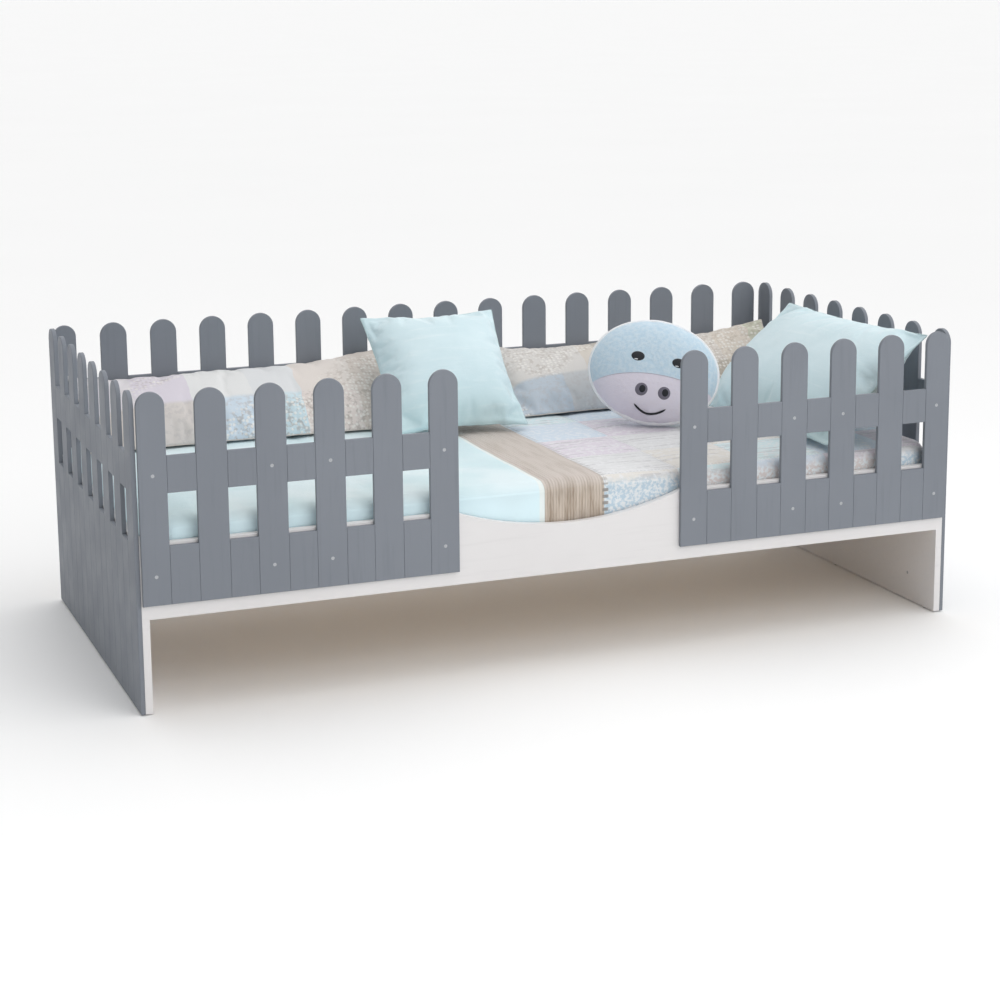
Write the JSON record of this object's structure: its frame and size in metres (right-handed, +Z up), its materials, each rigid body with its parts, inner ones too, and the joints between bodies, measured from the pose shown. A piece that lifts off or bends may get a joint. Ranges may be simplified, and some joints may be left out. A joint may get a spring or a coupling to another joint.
{
  "type": "toddler bed",
  "caption": "Low child's bed with painted picket-fence ends, back and split front, a scooped entry rail, slatted base, mattress, quilt, pillows and a round plush cushion.",
  "frame": {"origin": "on the floor, under the middle of the bed", "axes": "+Z up, +X along the bed towards the end with the long aqua pillow, -Y towards the open front side with the scooped entry"},
  "size_m": [1.96, 0.96, 0.6946],
  "materials": {
    "grey_paint": "satin",
    "white_paint": "satin",
    "bare_pine": "matte",
    "beech_dowel": "matte",
    "slat_tape": "matte",
    "screw_steel": "satin",
    "glide_plastic": "matte",
    "mattress_foam": "matte",
    "mattress_ticking": "matte",
    "quilt_cotton": "matte",
    "back_pillow_left_cotton": "matte",
    "back_pillow_right_knit": "matte",
    "aqua_satin": "satin",
    "plush_fleece": "matte"
  },
  "bodies": {
    "frame": {"left_end_fence": "grey_paint", "right_end_fence": "grey_paint", "front_left_fence": "grey_paint", "front_right_fence": "grey_paint", "back_fence": "grey_paint", "left_end_panel": "white_paint", "right_end_panel": "white_paint", "front_rail": "white_paint", "rear_rail": "white_paint", "slat_01": "bare_pine", "slat_02": "bare_pine", "slat_03": "bare_pine", "slat_04": "bare_pine", "slat_05": "bare_pine", "slat_06": "bare_pine", "slat_07": "bare_pine", "slat_08": "bare_pine", "slat_09": "bare_pine", "slat_10": "bare_pine", "slat_11": "bare_pine", "slat_12": "bare_pine", "slat_13": "bare_pine", "slat_14": "bare_pine", "front_ledge": "bare_pine", "rear_ledge": "bare_pine", "front_left_batten": "bare_pine", "front_right_batten": "bare_pine", "slat_tape_front": "slat_tape", "slat_tape_rear": "slat_tape", "rail_screws": "screw_steel", "front_left_fence_screws": "screw_steel", "front_right_fence_screws": "screw_steel", "back_fence_screws": "screw_steel", "left_end_fence_screws": "screw_steel", "right_end_fence_screws": "screw_steel", "front_ledge_screws": "screw_steel", "rear_ledge_screws": "screw_steel", "slat_screws": "screw_steel", "rail_dowels": "beech_dowel", "glides": "glide_plastic"},
    "mattress": {"mattress_core": "mattress_foam", "mattress_cover": "mattress_ticking"},
    "quilt": {"quilt": "quilt_cotton"},
    "back_pillow_left": {"back_pillow_left": "back_pillow_left_cotton"},
    "back_pillow_right": {"back_pillow_right": "back_pillow_right_knit"},
    "square_cushion": {"square_cushion": "aqua_satin"},
    "end_pillow": {"end_pillow": "aqua_satin"},
    "round_plush": {"round_plush": "plush_fleece"}
  },
  "joints": [
    {"name": "mattress_lift", "type": "slide", "parent": "frame", "child": "mattress", "axis": [0, 0, 1], "range_m": [0, 0.45]},
    {"name": "quilt_lift", "type": "slide", "parent": "mattress", "child": "quilt", "axis": [0, 0, 1], "range_m": [0, 0.2]},
    {"name": "back_pillow_left_lift", "type": "slide", "parent": "quilt", "child": "back_pillow_left", "axis": [0, 0, 1], "range_m": [0, 0.3]},
    {"name": "back_pillow_right_lift", "type": "slide", "parent": "quilt", "child": "back_pillow_right", "axis": [0, 0, 1], "range_m": [0, 0.3]},
    {"name": "square_cushion_lift", "type": "slide", "parent": "back_pillow_left", "child": "square_cushion", "axis": [0, 0, 1], "range_m": [0, 0.3]},
    {"name": "end_pillow_lift", "type": "slide", "parent": "quilt", "child": "end_pillow", "axis": [0, 0, 1], "range_m": [0, 0.3]},
    {"name": "round_plush_lift", "type": "slide", "parent": "quilt", "child": "round_plush", "axis": [0, 0, 1], "range_m": [0, 0.3]}
  ]
}
